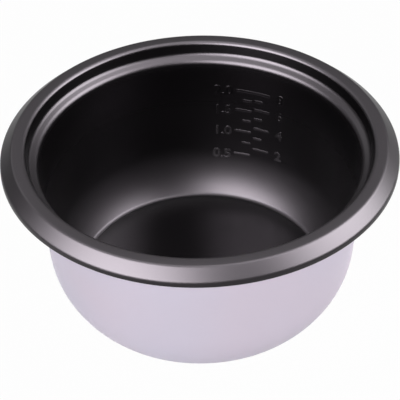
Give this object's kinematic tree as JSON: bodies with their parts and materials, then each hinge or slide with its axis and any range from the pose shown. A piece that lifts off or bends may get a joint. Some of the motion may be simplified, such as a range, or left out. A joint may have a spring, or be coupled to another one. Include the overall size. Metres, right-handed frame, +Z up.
{
  "type": "rice cooker inner pot",
  "caption": "Round drawn aluminium inner pot of a rice cooker: black non-stick bowl with raised level scales, stepped lid ledge, bevelled flange and pearl silver outside.",
  "frame": {"origin": "centre of the base, on the face that meets the hot plate", "axes": "+Z up along the pot's axis; the level scales are on the inside wall, 22 degrees from +Y towards +X; -Y faces the viewer"},
  "size_m": [0.24, 0.24, 0.109],
  "materials": {
    "bare_aluminium": "turned satin",
    "nonstick_black": "satin non-stick coat",
    "pearl_silver": "pearl silver coat",
    "scale_black": "satin non-stick coat"
  },
  "bodies": {
    "root": {"pot_shell": "bare_aluminium", "nonstick_lining": "nonstick_black", "outer_coat": "pearl_silver", "litre_scale": "scale_black", "cup_scale": "scale_black"}
  },
  "joints": []
}
